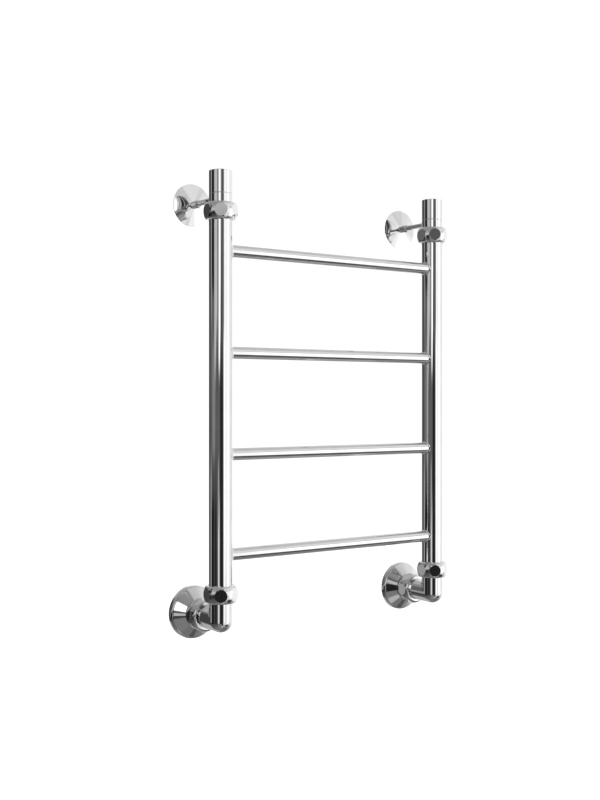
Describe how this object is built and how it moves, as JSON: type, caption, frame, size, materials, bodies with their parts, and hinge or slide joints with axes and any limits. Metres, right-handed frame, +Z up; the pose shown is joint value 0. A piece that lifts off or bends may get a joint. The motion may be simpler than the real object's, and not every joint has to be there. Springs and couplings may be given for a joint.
{
  "type": "ladder towel radiator",
  "caption": "Wall-hung ladder towel radiator: tubular rungs between two collectors, union nuts, elbows to the wall with rosettes, capped bleed valves and telescopic brackets.",
  "frame": {"origin": "midway between the two water outlets, on the wall's surface", "axes": "+Z up along the collectors, +Y into the wall, +X to the right for someone facing the wall"},
  "size_m": [0.478, 0.1412, 0.6765],
  "materials": {
    "polished_tube": "mirror-polished, faint drawing lines along the tube",
    "chrome_nut": "mirror-polished chrome plating on brass",
    "chrome_fitting": "mirror-polished chrome plating",
    "chrome_cover": "mirror-polished chrome plating on spun sheet",
    "seal_rubber": "matt moulded rubber",
    "brass": "turned brass",
    "white_plastic": "moulded acetal",
    "zinc_steel": "zinc-plated steel",
    "grey_nylon": "moulded nylon"
  },
  "bodies": {
    "rail": {"rung_bottom": "polished_tube", "rung_lower_middle": "polished_tube", "rung_upper_middle": "polished_tube", "rung_top": "polished_tube", "collector_left": "polished_tube", "collar_top_left": "chrome_fitting", "collar_bottom_left": "chrome_fitting", "collar_wall_left": "chrome_fitting", "gasket_top_left": "seal_rubber", "gasket_bottom_left": "seal_rubber", "gasket_wall_left": "seal_rubber", "elbow_left": "chrome_fitting", "wall_union_left": "chrome_fitting", "rosette_left": "chrome_cover", "vent_plug_left": "chrome_fitting", "cap_o_ring_left": "seal_rubber", "bracket_rod_left": "chrome_fitting", "collector_right": "polished_tube", "collar_top_right": "chrome_fitting", "collar_bottom_right": "chrome_fitting", "collar_wall_right": "chrome_fitting", "gasket_top_right": "seal_rubber", "gasket_bottom_right": "seal_rubber", "gasket_wall_right": "seal_rubber", "elbow_right": "chrome_fitting", "wall_union_right": "chrome_fitting", "rosette_right": "chrome_cover", "vent_plug_right": "chrome_fitting", "cap_o_ring_right": "seal_rubber", "bracket_rod_right": "chrome_fitting"},
    "nut_top_left": {"nut_top_left": "chrome_nut"},
    "nut_bottom_left": {"nut_bottom_left": "chrome_nut"},
    "nut_wall_left": {"nut_wall_left": "chrome_nut"},
    "cap_left": {"vent_cap_left": "chrome_fitting"},
    "needle_left": {"bleed_needle_left": "brass", "needle_ring_left": "seal_rubber"},
    "nozzle_left": {"bleed_nozzle_left": "white_plastic"},
    "bracket_left": {"bracket_sleeve_left": "chrome_fitting", "grub_screw_left": "zinc_steel", "hanger_bolt_left": "zinc_steel", "wall_plug_left": "grey_nylon"},
    "cone_left": {"bracket_cone_left": "chrome_cover"},
    "nut_top_right": {"nut_top_right": "chrome_nut"},
    "nut_bottom_right": {"nut_bottom_right": "chrome_nut"},
    "nut_wall_right": {"nut_wall_right": "chrome_nut"},
    "cap_right": {"vent_cap_right": "chrome_fitting"},
    "needle_right": {"bleed_needle_right": "brass", "needle_ring_right": "seal_rubber"},
    "nozzle_right": {"bleed_nozzle_right": "white_plastic"},
    "bracket_right": {"bracket_sleeve_right": "chrome_fitting", "grub_screw_right": "zinc_steel", "hanger_bolt_right": "zinc_steel", "wall_plug_right": "grey_nylon"},
    "cone_right": {"bracket_cone_right": "chrome_cover"}
  },
  "joints": [
    {"name": "nut_top_left_turn", "type": "hinge", "parent": "rail", "child": "nut_top_left", "pos_m": [-0.2, -0.0825, 0.5795], "axis": [0, 0, 1], "continuous": true},
    {"name": "nut_bottom_left_turn", "type": "hinge", "parent": "rail", "child": "nut_bottom_left", "pos_m": [-0.2, -0.0825, 0.038], "axis": [0, 0, 1], "continuous": true},
    {"name": "nut_wall_left_turn", "type": "hinge", "parent": "rail", "child": "nut_wall_left", "pos_m": [-0.2, -0.0335, 0], "axis": [0, 1, 0], "continuous": true},
    {"name": "cap_left_pull", "type": "slide", "parent": "rail", "child": "cap_left", "axis": [0, 0, 1], "range_m": [0, 0.036]},
    {"name": "needle_left_open", "type": "hinge", "parent": "rail", "child": "needle_left", "pos_m": [-0.2, -0.0825, 0.62], "axis": [0, 0, 1], "range_deg": [0, 360]},
    {"name": "nozzle_left_aim", "type": "hinge", "parent": "rail", "child": "nozzle_left", "pos_m": [-0.2, -0.0825, 0.628], "axis": [0, 0, 1], "continuous": true},
    {"name": "bracket_left_reach", "type": "slide", "parent": "rail", "child": "bracket_left", "axis": [0, 1, 0], "range_m": [-0.0035, 0.004]},
    {"name": "cone_left_slide", "type": "slide", "parent": "bracket_left", "child": "cone_left", "axis": [0, -1, 0], "range_m": [0, 0.006]},
    {"name": "nut_top_right_turn", "type": "hinge", "parent": "rail", "child": "nut_top_right", "pos_m": [0.2, -0.0825, 0.5795], "axis": [0, 0, 1], "continuous": true},
    {"name": "nut_bottom_right_turn", "type": "hinge", "parent": "rail", "child": "nut_bottom_right", "pos_m": [0.2, -0.0825, 0.038], "axis": [0, 0, 1], "continuous": true},
    {"name": "nut_wall_right_turn", "type": "hinge", "parent": "rail", "child": "nut_wall_right", "pos_m": [0.2, -0.0335, 0], "axis": [0, 1, 0], "continuous": true},
    {"name": "cap_right_pull", "type": "slide", "parent": "rail", "child": "cap_right", "axis": [0, 0, 1], "range_m": [0, 0.036]},
    {"name": "needle_right_open", "type": "hinge", "parent": "rail", "child": "needle_right", "pos_m": [0.2, -0.0825, 0.62], "axis": [0, 0, 1], "range_deg": [0, 360]},
    {"name": "nozzle_right_aim", "type": "hinge", "parent": "rail", "child": "nozzle_right", "pos_m": [0.2, -0.0825, 0.628], "axis": [0, 0, 1], "continuous": true},
    {"name": "bracket_right_reach", "type": "slide", "parent": "rail", "child": "bracket_right", "axis": [0, 1, 0], "range_m": [-0.0035, 0.004]},
    {"name": "cone_right_slide", "type": "slide", "parent": "bracket_right", "child": "cone_right", "axis": [0, -1, 0], "range_m": [0, 0.006]}
  ]
}
